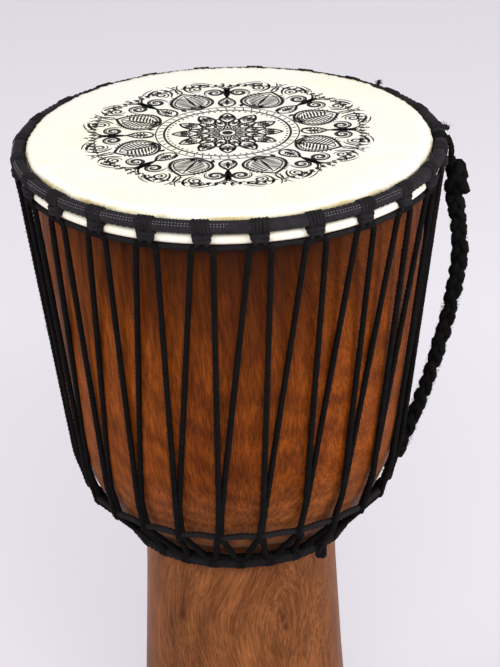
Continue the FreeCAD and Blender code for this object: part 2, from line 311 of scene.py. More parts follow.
def wood_material():
    """Oiled mahogany turned from one log: fibres and pores along it, faint growth rings about its axis."""
    n = Nodes("carved_wood")
    place = n.place()
    x, y, z = n.new("ShaderNodeSeparateXYZ", {0: place}).outputs
    # the grain leans, more so towards the right
    right = n.fade(x, 0.03, 0.13, high=0.55)
    wander = n.math("SUBTRACT", n.noise(place, 6.0, 1.0), 0.45)
    slope = n.math("ADD", right, n.math("MULTIPLY", wander, 0.5))
    lean = n.math("MULTIPLY", slope, n.math("SUBTRACT", z, 0.45))
    along = n.new("ShaderNodeCombineXYZ", {0: n.math("ADD", x, lean), 1: y, 2: z}).outputs[0]
    fibre = n.noise(n.scaled(along, (1, 1, 0.07)), 640.0, 4.0, 0.65)
    streak = n.noise(n.scaled(along, (1, 1, 0.05)), 150.0, 3.0, 0.6)
    pore = n.noise(n.scaled(along, (1, 1, 0.15)), 1150.0, 2.0, 0.5)
    broad = n.noise(n.scaled(along, (1, 1, 0.45)), 13.0, 3.0, 0.55, 0.6)
    # growth rings round a pith a little off the axis, which show as level lines under the bowl
    warp = n.noise(n.scaled(place, (1, 1, 0.5)), 9.0, 3.0)
    dx, dy = n.math("ADD", x, 0.012), n.math("SUBTRACT", y, 0.009)
    radius = n.math("SQRT", n.math("ADD", n.math("MULTIPLY", dx, dx), n.math("MULTIPLY", dy, dy)))
    radius = n.math("ADD", radius, n.math("MULTIPLY", warp, 0.026))
    growth = 0.0052
    rings = n.math("SINE", n.math("MULTIPLY", radius, math.tau / growth))
    rings = n.math("ADD", n.math("MULTIPLY", rings, 0.5), 0.5)
    # the bowl is redder than the neck and foot; the blend from the neck's paler tone up the low bowl, which
    # faces the floor, is a painted reflection of the floor
    bowl = n.fade(z, 0.30, 0.37)
    light = n.mix(bowl, (0.296, 0.104, 0.033), (0.286, 0.066, 0.0050))
    dark = n.mix(bowl, (0.124, 0.039, 0.0115), (0.104, 0.0198, 0.0013))
    figure = n.math("ADD", n.math("MULTIPLY", rings, 0.16), n.math("MULTIPLY", streak, 0.65))
    figure = n.math("ADD", figure, n.math("MULTIPLY", n.math("SUBTRACT", broad, 0.5), 0.75))
    figure = n.fade(figure, 0.15, 0.67)
    colour = n.mix(figure, dark, light)
    colour = n.mix(n.ramp(fibre, [(0.38, 0.50), (0.60, 1.0)]), (0, 0, 0), colour)
    colour = n.mix(n.ramp(pore, [(0.54, 0.0), (0.70, 0.38)]), colour, (0.040, 0.011, 0.004))
    # painted shade below the rim, where the ring overhangs the bowl, with a painted dark reflection strongest
    # in the middle of the front and of the back
    middle = n.fade(n.math("ABSOLUTE", x), 0.145, 0.045)
    stain_and_shade = n.math("MULTIPLY", n.ramp(z, [(0.480, 0.0), (0.570, 0.86)]),
                   n.ramp(middle, [(0.0, 0.25), (1.0, 1.0)]))
    colour = n.mix(stain_and_shade, colour, (0.016, 0.0035, 0.0006))
    # a pin knot and a short curved check in the neck's front
    for spot, size in (((-0.048, -0.060, 0.222), 0.0028), ((0.030, -0.071, 0.228), 0.0022),
                       ((0.032, -0.070, 0.221), 0.0020), ((0.0335, -0.069, 0.213), 0.0018)):
        centre = (spot[0], spot[1], spot[2] * 0.55)
        away = n.new("ShaderNodeVectorMath", {0: n.scaled(place, (1, 1, 0.55)), 1: centre},
                     operation="DISTANCE").outputs[1]
        mark = n.fade(away, size * 0.4, size * 1.6, 0.7, 0.0)
        colour = n.mix(mark, colour, (0.030, 0.009, 0.004))
    n.shade("Base Color", colour)
    gloss = n.math("ADD", n.math("MULTIPLY", streak, 0.5), n.math("MULTIPLY", fibre, 0.5))
    n.shade("Roughness", n.ramp(gloss, [(0.3, 0.40), (0.7, 0.52)]))
    n.shade("Specular IOR Level", 0.06)
    n.shade("Sheen Weight", 0.07)
    n.shade("Sheen Roughness", 0.28)
    n.shade("Sheen Tint", (1.0, 0.82, 0.74, 1.0))
    n.bump(n.math("ADD", n.math("MULTIPLY", fibre, 0.6), n.math("MULTIPLY", pore, -0.5)), 0.0002, 0.5)
    return n.material


def hide_material(name, tone, edge, cut=None):
    """Scraped goat hide: warm white, faintly clouded, with short hair-root flecks."""
    n = Nodes(name)
    place = n.place()
    clouds = n.noise(place, 12.0, 4.0, 0.6, 0.5)
    grain = n.noise(place, 380.0, 3.0, 0.6)
    veins = n.noise(place, 34.0, 5.0, 0.7, 1.4)
    colour = n.mix(n.ramp(clouds, [(0.38, 0.0), (0.78, 1.0)]), tone, edge)
    colour = n.mix(n.ramp(veins, [(0.47, 0.0), (0.50, 0.16), (0.53, 0.0)]), colour, edge)
    colour = n.mix(n.ramp(grain, [(0.30, 0.12), (0.45, 0.0)]), colour, (0.62, 0.50, 0.32))
    x, y, z = n.new("ShaderNodeSeparateXYZ", {0: place}).outputs
    # painted shade: the roll round the hoop is painted darker underneath, where it faces down, and darker
    # again where the hitches press on it
    roll = n.fade(z, 0.5940, 0.5905)
    under = n.fade(z, 0.5875, 0.5780)
    turn = n.math("COSINE", n.math("MULTIPLY", n.math("ARCTAN2", x, y), STATIONS))
    pinch_shade = n.fade(turn, 0.1, -0.7)
    colour = n.mix(n.math("MULTIPLY", under, 0.5), colour, (0.66, 0.53, 0.45))
    colour = n.mix(n.math("MULTIPLY", n.math("MULTIPLY", roll, pinch_shade), 0.55), colour, (0.42, 0.31, 0.25))
    if cut:
        # browned in patches towards its cut edge
        radius = n.math("SQRT", n.math("ADD", n.math("MULTIPLY", x, x), n.math("MULTIPLY", y, y)))
        rim = n.fade(radius, 0.1517, 0.1532)
        stain_and_shade = n.ramp(n.noise(place, 22.0, 4.0, 0.6), [(0.40, 0.10), (0.62, 1.0)])
        colour = n.mix(n.math("MULTIPLY", rim, stain_and_shade), colour, cut)
    n.shade("Base Color", colour)
    n.shade("Roughness", n.ramp(clouds, [(0.3, 0.42), (0.7, 0.58)]))
    n.shade("Subsurface Weight", 0.12)
    n.shade("Subsurface Radius", (0.004, 0.003, 0.002))
    n.shade("Subsurface Scale", 1.0)
    n.bump(n.math("ADD", grain, n.math("MULTIPLY", clouds, 2.0)), 0.00012, 0.5)
    return n.material


def rope_material(name, base, lift, shine):
    """Matt black cord: fine fibres, paler in patches and at its finest fibres."""
    n = Nodes(name)
    place = n.place()
    fibre = n.noise(place, 2600.0, 3.0, 0.7)
    paler_patches = n.noise(place, 120.0, 3.0, 0.6)
    colour = n.mix(n.ramp(paler_patches, [(0.35, 0.0), (0.75, 1.0)]), base, lift)
    colour = n.mix(n.ramp(fibre, [(0.42, 0.0), (0.75, 0.8)]), colour, tuple(2.2 * c for c in lift))
    n.shade("Base Color", colour)
    n.shade("Roughness", n.ramp(fibre, [(0.3, 0.66), (0.7, 0.86)]))
    n.shade("Specular IOR Level", shine)
    n.bump(fibre, 0.0003, 0.6)
    return n.material


def plain_detail(name, colour, dull, rough, scale):
    """A small part's finish: two close tones in a fine noise, and a grain in its bump."""
    n = Nodes(name)
    grain = n.noise(n.place(), scale, 3.0, 0.6)
    n.shade("Base Color", n.mix(n.ramp(grain, [(0.35, 0.0), (0.7, 1.0)]), colour, dull))
    n.shade("Roughness", n.ramp(grain, [(0.3, rough - 0.08), (0.7, rough + 0.08)]))
    n.shade("Specular IOR Level", 0.2)
    n.bump(grain, 0.0002, 0.4)
    return n.material


WOOD = wood_material()
HIDE = hide_material("goat_hide", (0.93, 0.912, 0.815), (0.90, 0.865, 0.64))
HIDE_EDGE = hide_material("hide_trimmed_edge", (0.93, 0.92, 0.84), (0.90, 0.86, 0.64), (0.52, 0.41, 0.20))
HITCH = rope_material("hitch_cord", (0.0042, 0.0037, 0.0041), (0.0115, 0.0103, 0.0115), 0.10)
ROPE = rope_material("black_cord", (0.0019, 0.0015, 0.0015), (0.0050, 0.0044, 0.0046), 0.06)
BRAID = rope_material("ring_braid", (0.0064, 0.0057, 0.0064), (0.0185, 0.0165, 0.0190), 0.12)
STRAP = rope_material("strap_cord", (0.0014, 0.0012, 0.0014), (0.0038, 0.0034, 0.0038), 0.05)
FLECK = plain_detail("tracer_thread", (0.34, 0.33, 0.37), (0.18, 0.18, 0.20), 0.6, 900.0)
INK = plain_detail("head_ink", (0.0055, 0.005, 0.0065), (0.016, 0.015, 0.018), 0.75, 700.0)
NECK_BRAID = rope_material("neck_ring_braid", (0.0030, 0.0026, 0.0028), (0.0075, 0.0068, 0.0075), 0.08)
STEEL = plain_detail("ring_steel", (0.30, 0.30, 0.31), (0.18, 0.16, 0.15), 0.45, 500.0)
STEEL.node_tree.nodes["Principled BSDF"].inputs["Metallic"].default_value = 1.0


def finish_node(name, material):
    """A CAD node keeps its shape and takes a new material."""
    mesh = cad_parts[name].data
    mesh.materials.clear()
    mesh.materials.append(material)


# ---- ropes on the drum -------------------------------------------------------------
def tension_rope():
    """One rope laced round the drum: from the weave rope up under each crown hitch and down again."""
    arch = degrees_at(ARCH_HALF, ARCH_R)
    side = degrees_at(1.5, WEAVE_R)
    front, back = WEAVE_R + 2.0, WEAVE_R - 1.6
    hook_z = WEAVE_Z - 5.0
    # the bights lap over the front of the cradle rope
    lap_r, lap_z = ARCH_R + 1.0, ARCH_Z + 3.2
    points = []

    def leg(top, foot):
        """Points near both ends of a straight leg, from its foot to its top."""
        return [foot.lerp(top, 0.05), top.lerp(foot, 0.03)]

    for step in range(STATIONS):
        here, there = station(TAIL_STATION + step), station(TAIL_STATION + step + 1)
        foot = polar(here + LEG_LEAN + 0.4, LEG_BEND_R - 2.2, LEG_BEND_Z)
        top = polar(there - arch, lap_r, lap_z - 1.5)
        points += [polar(here + side * 0.6, WEAVE_R - 2.6, hook_z),
                   polar(here + side * 0.6, back, WEAVE_Z - 0.5),
                   polar(here + side, back + 2.6, WEAVE_Z + 8), foot, *leg(top, foot), top,
                   polar(there - arch * 0.75, lap_r + 0.4, lap_z + 1.6)]
        foot = polar(there + LEG_LEAN - 0.4, LEG_BEND_R - 0.2, LEG_BEND_Z)
        top = polar(there + arch, lap_r, lap_z - 1.5)
        points += [polar(there + arch * 0.75, lap_r + 0.4, lap_z + 1.6), top, *leg(top, foot)[::-1], foot,
                   polar(there - side * 0.6, front, WEAVE_Z + 3), polar(there - side, WEAVE_R + 0.4, hook_z)]
    tail = station(TAIL_STATION) + 360 - side
    points[-1] = polar(tail - 0.4, front + 0.6, WEAVE_Z - 6)
    points.append(polar(TAIL_AZ + 360, TAIL_END_R, TAIL_END_Z))
    skin = Skin()
    line = smooth_line(points)
    laid_rope(skin, line, ROPE_R * MM)
    fibres(skin, evenly(line, 2 * MM)[0], ROPE_R * MM, 3000, 2.4 * MM)
    piece = skin.build("tension_rope_laid", ROPE, "drum")
    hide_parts("tension_rope")


def hoop_line(radius, height, rise, seed):
    """A closed line round the drum, pulled a little up and down between its hitches."""
    count = STATIONS * 12
    points = []
    for i in range(count):
        azimuth = i * 360 / count
        swing = math.cos(math.radians(azimuth * STATIONS))
        a = math.radians(azimuth)
        drift = noise.noise(Vector((math.cos(a), math.sin(a), seed)) * 6)
        points.append(polar(azimuth, radius + 0.25 * drift, height + swing * rise + 0.6 * drift))
    return np.array(points)


def cradle_and_weave():
    """The rope under the flesh hoop and the rope that gathers the verticals above the neck."""
    skin = Skin()
    laid_rope(skin, hoop_line(CRADLE_R - 2.2, CRADLE_Z - 1.0, 0.5, 1.0), 2.5 * MM, True)
    crown_hitches(skin)
    piece = skin.build("top_cradle_laid", HITCH, "drum")
    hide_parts("top_cradle_rope")
    skin = Skin()
    laid_rope(skin, hoop_line(WEAVE_R - 0.8, WEAVE_Z, 0.5, 3.0), 2.7 * MM, True)
    piece = skin.build("weave_rope_laid", HITCH, "drum")
    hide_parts("weave_rope")


def at_hitch(azimuth, radius, height, aside=0.0):
    """A point near a hitch, aside from its middle in millimetres along the ring."""
    return polar(azimuth + degrees_at(aside, radius), radius, height)


def ring_turn(skin, azimuth, aside, ring_r, ring_z, half_width, lean=0.0, half_thick=1.15,
              reach=WRAP_R + 0.35, count=28):
    """One turn of flattened rope round a covered ring or a rope, leaning along it."""
    points = []
    for k in range(count):
        a = k / count * math.tau
        points.append(at_hitch(azimuth, ring_r + reach * math.cos(a), ring_z + reach * math.sin(a),
                               aside + lean * math.sin(a)))
    middle = at_hitch(azimuth, ring_r, ring_z, aside)
    flat_strand(skin, np.array(points), lambda p: np.array(p) - np.array(middle), half_width * MM,
                half_thick * MM, closed=True)


def crown_hitches(skin):
    """Each hitch: tight turns over the ring, a knot across the hoop and two ends down to the cradle rope."""
    for index in range(STATIONS):
        azimuth = station(index)
        outward = np.array(polar(azimuth, 1.0, 0.0)) * 1000
        lean = random.uniform(-1.2, 1.2)
        spread = random.uniform(2.3, 2.75)
        for k in range(-2, 3):
            ring_turn(skin, azimuth, k * spread + random.uniform(-0.3, 0.3), CROWN_R, CROWN_Z,
                      random.uniform(1.25, 1.45), lean, random.uniform(0.75, 1.0))
        for aside in (-3.4, 3.4):
            down = [at_hitch(azimuth, CROWN_R + 3.4, CROWN_Z - 4.0, aside),
                    at_hitch(azimuth, CROWN_R + 3.2, CROWN_Z - 8.0, aside),
                    at_hitch(azimuth, CRADLE_R + 1.0, CRADLE_Z + 3.2, aside),
                    at_hitch(azimuth, CRADLE_R + 0.8, CRADLE_Z - 0.8, aside),
                    at_hitch(azimuth, CRADLE_R - 1.6, CRADLE_Z - 2.8, aside)]
            flat_strand(skin, smooth_line(down), lambda p: outward, 1.9 * MM, 1.2 * MM)
        # the knot's two turns across the hoop
        for rise, push, half in ((-6.6, 3.7, 5.7), (-9.9, 3.6, 5.3)):
            tilt = random.uniform(-0.9, 0.9)
            push += random.uniform(-0.4, 0.4)
            bar = [at_hitch(azimuth, CROWN_R + push - 5.4, CROWN_Z + rise - tilt, -half),
                   at_hitch(azimuth, CROWN_R + push - 1.6, CROWN_Z + rise - tilt, -half),
                   at_hitch(azimuth, CROWN_R + push, CROWN_Z + rise - tilt * 0.5, -half * 0.6),
                   at_hitch(azimuth, CROWN_R + push + 0.3, CROWN_Z + rise, 0.0),
                   at_hitch(azimuth, CROWN_R + push, CROWN_Z + rise + tilt * 0.5, half * 0.6),
                   at_hitch(azimuth, CROWN_R + push - 1.6, CROWN_Z + rise + tilt, half),
                   at_hitch(azimuth, CROWN_R + push - 5.4, CROWN_Z + rise + tilt, half)]
            flat_strand(skin, smooth_line(bar), lambda p: outward, 2.2 * MM, 2.0 * MM)
    # two frayed rope ends left at the ring
    for azimuth, reach, up, thick in ((97.5, 7.5, -3.5, 2.0), (133.0, 1.5, 4.5, 1.4)):
        bent = [at_hitch(azimuth, CROWN_R + 1.0, CROWN_Z + 3.5),
                at_hitch(azimuth, CROWN_R + 3.0 + reach * 0.4, CROWN_Z + 4.5 + up * 0.5, 0.8),
                at_hitch(azimuth, CROWN_R + 2.0 + reach, CROWN_Z + 3.5 + up, 1.6)]
        end = evenly(smooth_line(bent), 0.6 * MM)[0]
        soft_strand(skin, end, thick * MM, 0.9, azimuth)
        fibres(skin, end, thick * MM, 70, 3.0 * MM)


def lower_cradle():
    """The zigzag between the weave rope and the neck ring, hitched to the ring at each valley."""
    run = degrees_at(2.6, WEAVE_R)
    top_r, top_z = WEAVE_R - 1.8, WEAVE_Z - 4.4
    points, skin = [], Skin()
    for index in range(STATIONS):
        azimuth = station(index)
        valley = azimuth - PITCH / 2
        near, far = polar(valley + VALLEY_HALF, VALLEY_R, VALLEY_Z), polar(azimuth - run, top_r, top_z)
        points += [near, near.lerp(far, 0.12), near.lerp(far, 0.9), far]
        near = polar(azimuth + run, top_r, top_z)
        far = polar(valley + PITCH - VALLEY_HALF, VALLEY_R, VALLEY_Z)
        points += [near, near.lerp(far, 0.1), near.lerp(far, 0.88), far]
        for aside in (-1.75, 1.75):
            ring_turn(skin, valley, aside + random.uniform(-0.3, 0.3), LOWER_R, LOWER_Z, 1.7,
                      random.uniform(-0.8, 0.8), 0.5)
    laid_rope(skin, hoop_line(LOWER_R + 3.4, LOWER_Z + 6.6, 0.6, 7.0), 2.1 * MM, True)
    laid_rope(skin, smooth_line(points, closed=True), ROPE_R * MM, True)
    piece = skin.build("lower_cradle_laid", ROPE, "drum")
    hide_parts("lower_cradle_rope")


BRAID_STEP, BRAID_CROSSING, FLECK_PITCH = 0.8, 5.2, 2.3   # along a ring


def ring_braid(name, node, ring_r, ring_z, material, flecked):
    """The braided sleeve of a ring: crossing strands in relief, with a tracer thread in rows."""
    around, across = int(math.tau * ring_r / BRAID_STEP), 24
    pairs = int(math.tau * ring_r / BRAID_CROSSING)
    i = np.arange(around)[:, None] / around
    j = np.arange(across)[None, :] / across
    along = i * pairs * math.tau
    round_it = j * 4 * math.tau
    relief = np.abs(np.sin((along + round_it) / 2)) * np.abs(np.sin((along - round_it) / 2))
    reach = WRAP_R - 0.35 + 0.9 * relief
    radius = ring_r + reach * np.cos(j * math.tau)
    height = ring_z + reach * np.sin(j * math.tau) + 0 * i
    azimuth = i * math.tau + 0 * j
    rings = np.stack([radius * np.sin(azimuth), -radius * np.cos(azimuth), height], axis=-1) * MM
    skin = Skin()
    skin.tube(rings, closed=True)
    piece = skin.build(name, material, "drum")
    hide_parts(node)
    if not flecked:
        return
    skin = Skin()
    proud = WRAP_R + 0.5
    for row, threshold in ((47, -0.10), (26, -0.04)):
        count = int(math.tau * ring_r / FLECK_PITCH)
        for k in range(count):
            # the tracer thread shows in some stretches and not in others
            if noise.noise(polar(k * 360 / count, 1.0, 0.001 * row) * 1800) < threshold:
                continue
            a = math.radians(row + random.uniform(-0.8, 0.8))
            spin = (k + random.uniform(-0.03, 0.03)) * 360 / count
            tip = [at_hitch(spin, ring_r + proud * math.cos(a), ring_z + proud * math.sin(a), aside)
                   for aside in (-0.34, 0.34)]
            up = np.array(polar(spin, math.cos(a), math.sin(a))) * 0.22
            lean = np.array(polar(spin, -math.sin(a), math.cos(a))) * 0.24
            rings = np.array([[t + up, t + lean, t - up, t - lean] for t in np.array(tip)])
            skin.tube(rings)
    piece = skin.build(name + "_flecks", FLECK, "drum")


# ---- head ---------------------------------------------------------------------------
def collar_edge():
    """The skin's trimmed edge: it fills the step between the head and the crown ring and ends ragged."""
    count = 900
    rings = []
    for i in range(count):
        azimuth = i * 360 / count
        a = math.radians(azimuth)
        where = Vector((math.sin(a), math.cos(a), 0))
        fray = 0.5 * noise.noise(where * 41) + 0.4 * noise.noise(where * 120)
        back = min(1, max(0, -0.35 - 1.6 * where.y))    # 0 at the front, 1 at the back
        edge = 153.7 + 1.9 * back + 0.7 * noise.noise(where * 7) + fray
        top = 597.2 + 1.8 * back + 0.7 * noise.noise(where * 23 + Vector((0, 0, 5))) + fray
        section = ((139.0, 599.86), (143.2, 599.985), (147.2, 599.93), (150.4, 599.3 + 0.5 * back),
                   (edge - 0.8, top), (edge, top - 0.8), (edge, top - 4.0), (edge - 1.0, top - 4.0),
                   (150.0, 597.6), (147.0, 599.0), (143.0, 599.6))
        rings.append([polar(azimuth, r, z) for r, z in section])
    skin = Skin()
    skin.tube(np.array([[tuple(p) for p in ring] for ring in rings]), closed=True)
    piece = skin.build("skin_trimmed_edge", HIDE_EDGE, "drum")


class Print:
    """Ink strokes on the head, as thin raised ribbons in a plane polar layout about the print's centre."""
    CENTRE = (-1.0, 8.0)
    BASE, TOP = HEAD_Z - 0.05, HEAD_Z + 0.12 - 0.05    # the ink's foot is sunk into the skin

    def __init__(self):
        self.skin = Skin()

    def stroke(self, points, width, taper=True):
        """A pen stroke through the points, in millimetres, thinning to its ends."""
        p = np.array(points, float)
        ahead = np.gradient(p, axis=0)
        ahead /= np.maximum(np.linalg.norm(ahead, axis=1), 1e-9)[:, None]
        side = np.column_stack([-ahead[:, 1], ahead[:, 0]])
        t = np.linspace(0, 1, len(p))
        swell = 0.25 + 0.75 * np.sin(math.pi * t) ** 0.6 if taper else np.ones(len(p))
        half = (width * 0.72 * swell)[:, None]
        left, right = p + side * half, p - side * half
        rings = np.stack([np.column_stack([left, np.full(len(p), self.BASE)]),
                          np.column_stack([left, np.full(len(p), self.TOP)]),
                          np.column_stack([right, np.full(len(p), self.TOP)]),
                          np.column_stack([right, np.full(len(p), self.BASE)])], axis=1)
        rings[..., 0] += self.CENTRE[0]
        rings[..., 1] += self.CENTRE[1]
        self.skin.tube(rings[:, ::-1] * MM)

    def dot(self, x, y, radius):
        """A round dot, as a stack of two discs."""
        turn = np.arange(10) / 10 * math.tau
        flat = np.column_stack([x + radius * np.cos(turn) + self.CENTRE[0],
                                y + radius * np.sin(turn) + self.CENTRE[1]])
        rings = np.array([np.column_stack([flat, np.full(10, z)]) for z in (self.BASE, self.TOP)])
        self.skin.tube(rings * MM)


def bezier(a, b, c, d, count=14):
    """Points on a cubic curve from a to d that leaves towards b and arrives from c."""
    t = np.linspace(0, 1, count)[:, None]
    a, b, c, d = (np.array(v, float) for v in (a, b, c, d))
    return (1 - t) ** 3 * a + 3 * (1 - t) ** 2 * t * b + 3 * (1 - t) * t ** 2 * c + t ** 3 * d


def spiral(centre, radius, start, turns, count=26, tail=0.12):
    """A scroll winding in from its outer end."""
    t = np.linspace(0, 1, count)
    a = math.radians(start) + t * turns * math.tau
    r = radius * (1 - t * (1 - tail))
    return np.column_stack([centre[0] + r * np.cos(a), centre[1] + r * np.sin(a)])


def turned(points, degrees):
    """The points turned about the print's centre."""
    a = math.radians(degrees)
    p = np.array(points, float)
    return np.column_stack([p[:, 0] * math.cos(a) - p[:, 1] * math.sin(a),
                            p[:, 0] * math.sin(a) + p[:, 1] * math.cos(a)])


def mirrored(points):
    """The points on the other side of the x axis."""
    p = np.array(points, float)
    p[:, 1] = -p[:, 1]
    return p


def rosette():
    """A generic rosette of petals, pearls and scrolls printed on the head."""
    ink = Print()

    def ring(radius, width, count=96):
        a = np.linspace(0, math.tau, count)
        ink.stroke(np.column_stack([radius * np.cos(a), radius * np.sin(a)]), width, taper=False)

    def pearls(radius, count, size):
        for k in range(count):
            a = k / count * math.tau
            ink.dot(radius * math.cos(a), radius * math.sin(a), size)

    def petal(angle, base, tip, width, line, veins=0):
        """An ogee petal pointing outwards, outlined on both sides, with veins inside."""
        long = tip - base
        half = bezier((base, 0), (base + long * 0.15, width), (tip - long * 0.35, width * 0.9), (tip, 0), 18)
        for points in (half, mirrored(half)):
            ink.stroke(turned(points, angle), line, taper=False)
        for v in range(veins):
            share = (v + 1) / (veins + 1)
            start = base + long * (0.12 + 0.5 * share)
            vein = bezier((start, 0.3), (start + 3, width * 0.25), (start + 4, width * 0.45),
                          (start + 2, width * 0.62), 8)
            ink.stroke(turned(vein, angle), line * 0.7)
            ink.stroke(turned(mirrored(vein), angle), line * 0.7)

    ink.dot(0, 0, 4.2)
    ring(6.4, 0.7, 40)
    for k in range(12):
        petal(k * 30, 6.8, 17.0, 3.0, 0.8)
        ink.stroke(turned([(8, 0), (11, 0), (14, 0)], k * 30), 1.5)
    for k in range(12):
        petal(k * 30 + 15, 14.0, 30.0, 6.0, 1.1, 3)
    for k in range(12):
        petal(k * 30, 22.0, 42.0, 8.2, 1.3, 4)
        ink.stroke(turned([(30, 0), (34, 0), (39, 0)], k * 30), 2.2)
    pearls(45.5, 60, 0.95)
    ring(48.2, 1.2, 120)
    for k in range(48):
        ink.stroke(turned([(49, 0), (51.5, 0.7), (53.6, 1.6)], k * 7.5), 0.9)
    ring(54.6, 0.7, 120)
    for k in range(8):
        angle = k * 45 + 22.5
        # a broad petal with a second outline, a spine and veins
        petal(angle, 56.0, 92.0, 23.0, 1.6)
        petal(angle, 58.5, 88.0, 19.0, 0.7)
        ink.stroke(turned([(60, 0), (72, 0.2), (87, 0)], angle), 2.0)
        for side in (1, -1):
            def both(points, width):
                p = np.array(points, float)
                p[:, 1] *= side
                ink.stroke(turned(p, angle), width)
            for d in range(9):
                r = 60.0 + d * 2.75
                w = 12.4 * math.sin(math.pi * (r - 56.5) / 32.0) ** 0.8
                both(bezier((r - 0.8, 0.5), (r + 0.6, 0.4 * w), (r + 1.8, 0.7 * w), (r + 2.2, w)), 1.1)
            # scrolls and leaves between the petals
            both(spiral((84.0, 24.5), 8.6, 250, 1.9, 34), 1.5)
            both(spiral((84.0, 24.5), 6.9, 265, 1.5, 28), 0.6)
            both(spiral((98.0, 14.5), 6.2, 160, 1.7, 28), 1.3)
            both(bezier((66, 24), (74, 34), (88, 40), (98, 30)), 1.6)
            both(bezier((68, 26.5), (76, 36.5), (89, 42), (101, 31)), 0.7)
            both(bezier((90, 10), (98, 4), (106, 5), (110, 12)), 1.4)
            both(bezier((94, 3), (101, -0.5), (108, 0.5), (113, 5)), 0.9)
            both(bezier((98, 26), (104, 24), (108, 19), (109, 14)), 1.8)
            both(bezier((101, 30), (107, 27), (110, 22), (112, 17)), 0.8)
            for d in range(5):
                spot = (100 + d * 2.6, side * (21 - d * 3.1 + 0.3 * d * d))
                ink.dot(*turned([spot], angle)[0], 0.9 - 0.1 * d)
            for d in range(4):
                both(bezier((74 + d * 4, 30 + d), (77 + d * 4, 32 + d), (79 + d * 4, 35 + d * 0.5),
                            (78 + d * 4.4, 37.5)), 0.9)
        ink.stroke(turned(bezier((92, 0), (97, 2.6), (101, 2.2), (106, 0)), angle), 1.0)
        ink.stroke(turned(bezier((92, 0), (97, -2.6), (101, -2.2), (106, 0)), angle), 1.0)
        ink.dot(*turned([(109.5, 0)], angle)[0], 1.3)
        # hatching in the broad petal's foot
        for d in range(9):
            reach = (d - 4) * 1.5
            ink.stroke(turned([(57.2, reach * 0.7), (60.0, reach * 0.95), (62.8, reach * 1.05)], angle), 0.8)
    for k in range(8):
        angle = k * 45
        petal(angle, 56.0, 76.0, 9.0, 1.2, 3)
        ink.stroke(turned([(60, 0), (66, 0), (73, 0)], angle), 2.4)
        for d in range(3):
            ink.dot(*turned([(79.5 + d * 3.4, 0)], angle)[0], 1.2 - 0.25 * d)
    # a wreath of solid leaves, hatched shadows and a fringe of curls
    for k in range(24):
        ink.stroke(turned([(56.5, 0), (59.5, 0.6), (63.5, 0)], k * 15 + 3.75), 2.6)
        ink.stroke(turned([(31.0, 0), (34.0, 0.3), (37.5, 0)], k * 15 + 7.5), 2.4)
    for k in range(36):
        ink.stroke(turned([(18.5, 0), (20.5, 0.2), (23.0, 0)], k * 10 + 5), 1.5)
    for k in range(8):
        for side in (1, -1):
            for d in range(11):
                r = 60.5 + d * 2.6
                w = side * 15.5 * math.sin(math.pi * (r - 56.0) / 37.0) ** 0.75
                hatch = [(r, w * 0.80), (r + 0.9, w * 0.98), (r + 1.0, w * 1.12)]
                ink.stroke(turned(hatch, k * 45 + 22.5), 1.1)
            for d in range(6):
                a = k * 45 + 22.5 + side * (4.0 + d * 3.3)
                r = 103.0 - 0.6 * d
                ink.stroke(turned([(r, 0), (r + 2.6, 0.5 * side), (r + 5.4, 1.5 * side)], a), 2.3)
                ink.stroke(turned([(r - 1, 0.8), (r + 1.0, 2.4), (r + 1.4, 4.0)], a), 1.3)
    for k in range(48):
        r = 105.5 + 1.6 * math.cos(math.radians(k * 7.5 * 8)) + random.uniform(-0.8, 0.8)
        ink.stroke(turned(spiral((r, 0), 1.9, 90 + 180 * (k % 2), 1.1, 12), k * 7.5 + 1.9), 0.8)
    piece = ink.skin.build("head_print", INK, "drum", smooth=False)


# ---- carrying strap -----------------------------------------------------------------
STRAP_ROUTE = [(170.6, 0.0, 549.0), (174.9, 0.7, 520.0), (174.4, -0.6, 486.0), (166.2, 0.9, 449.0),
               (156.0, -0.7, 411.0), (143.6, 0.5, 373.0), (127.9, 0.0, 335.1)]
PLAIT = 37.0                   # length of one whole crossing of a plait's strands


def fuzzy(rings, amount, scale, seed):
    """Moves each point of a tube's rings in or out, as the surface of a soft cord."""
    flat = rings.reshape(-1, 3)
    centre = np.repeat(rings.mean(1), rings.shape[1], 0)
    push = np.array([noise.noise(Vector(p) * scale + Vector((seed, 0, 0))) for p in flat])
    away = flat - centre
    away /= np.maximum(np.linalg.norm(away, axis=1), 1e-9)[:, None]
    return (flat + away * (push * amount)[:, None]).reshape(rings.shape)


def soft_strand(skin, points, radius, flat=0.85, seed=0.0, closed=False, twist=0.0):
    """A thick soft strand: an oval section, lumpy and finely wrinkled, tapering only at its ends."""
    _, normals, binormals = frames_along(points, closed)
    count = len(points)
    turn = np.arange(14) / 14 * math.tau
    size = np.full(count, radius) if np.isscalar(radius) else np.array(radius)
    spin = np.linspace(0, twist, count)[:, None] + turn[None, :]
    wrinkle = 1 + 0.07 * np.cos(5 * spin + np.linspace(0, 40, count)[:, None])
    rings = (points[:, None]
             + (size[:, None] * wrinkle * np.cos(spin))[..., None] * normals[:, None]
             + (size[:, None] * flat * wrinkle * np.sin(spin))[..., None] * binormals[:, None])
    rings = fuzzy(rings, 0.8 * MM, 300.0, seed)
    rings = fuzzy(rings, 0.35 * MM, 1100.0, seed + 3)
    skin.tube(rings, closed)


